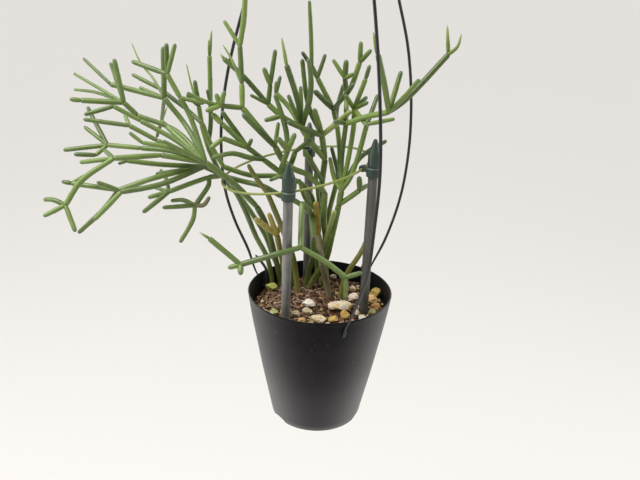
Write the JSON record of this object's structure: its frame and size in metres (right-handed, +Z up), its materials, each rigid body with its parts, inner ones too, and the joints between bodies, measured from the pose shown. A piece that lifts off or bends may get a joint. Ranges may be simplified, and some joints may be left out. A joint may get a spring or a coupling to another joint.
{
  "type": "potted rhipsalis heteroclada",
  "caption": "Rush cactus with jointed cylindrical stems in a black hanging pot, held up by capped stakes and a wire ring, on a wire hanger with a top hook.",
  "frame": {"origin": "where the underside of the hook's arch bears on the rail or peg that it hangs from, on the pot's axis", "axes": "+Z up along the pot's axis, -Y toward the picture's viewer, +X to the viewer's right"},
  "size_m": [0.2983, 0.1467, 0.5133],
  "materials": {
    "pot_plastic": "semi-matte moulded black",
    "soil": "loose brown bark and fibre",
    "hanger_wire": "black plastic coat on wire",
    "stake_plastic": "dull grey, slightly green",
    "cap_plastic": "dark blue-green",
    "ring_wire": "yellow-green coat on wire",
    "stem_bluish": "waxy green with a bluish bloom toward the tips",
    "stem_green": "waxy mid green",
    "stem_olive": "waxy olive green",
    "stem_ochre": "old ochre stem",
    "stone_green": "rough yellow-green gravel",
    "stone_white": "rough white pumice",
    "stone_cream": "rough cream pumice",
    "stone_yellow": "rough yellow pumice",
    "stone_orange": "rough orange gravel"
  },
  "bodies": {
    "root": {"pot": "pot_plastic", "soil": "soil", "hanger_leg_front": "hanger_wire", "hanger_leg_back": "hanger_wire", "hanger_leg_left": "hanger_wire", "hanger_hook": "hanger_wire", "stake_front": "stake_plastic", "stake_right": "stake_plastic", "stake_back": "stake_plastic", "stake_cap_front": "cap_plastic", "stake_cap_right": "cap_plastic", "stake_cap_back": "cap_plastic", "support_ring": "ring_wire", "stem_left_main": "stem_bluish", "stem_left_lower": "stem_bluish", "stem_low_spray": "stem_bluish", "stem_left_back": "stem_green", "stem_arching": "stem_green", "stem_upper_left": "stem_green", "stem_mid_left": "stem_green", "stem_centre": "stem_green", "stem_tall": "stem_green", "stem_right": "stem_green", "stem_olive_left": "stem_olive", "stem_olive_right": "stem_olive", "stem_ochre": "stem_ochre", "stone_green_left": "stone_green", "stone_green_front": "stone_green", "stone_olive": "stone_green", "stone_white": "stone_white", "stone_white_small": "stone_white", "stone_cream_left": "stone_cream", "stone_cream": "stone_cream", "stone_cream_long": "stone_cream", "stone_cream_large": "stone_cream", "stone_cream_right": "stone_cream", "stone_pink": "stone_cream", "stone_tan_back": "stone_cream", "stone_grey_back": "stone_cream", "stone_yellow_front": "stone_yellow", "stone_yellow": "stone_yellow", "stone_yellow_right": "stone_yellow", "stone_orange": "stone_orange", "stone_orange_right": "stone_orange", "stone_amber_right": "stone_orange", "stone_amber_back": "stone_orange"}
  },
  "joints": []
}
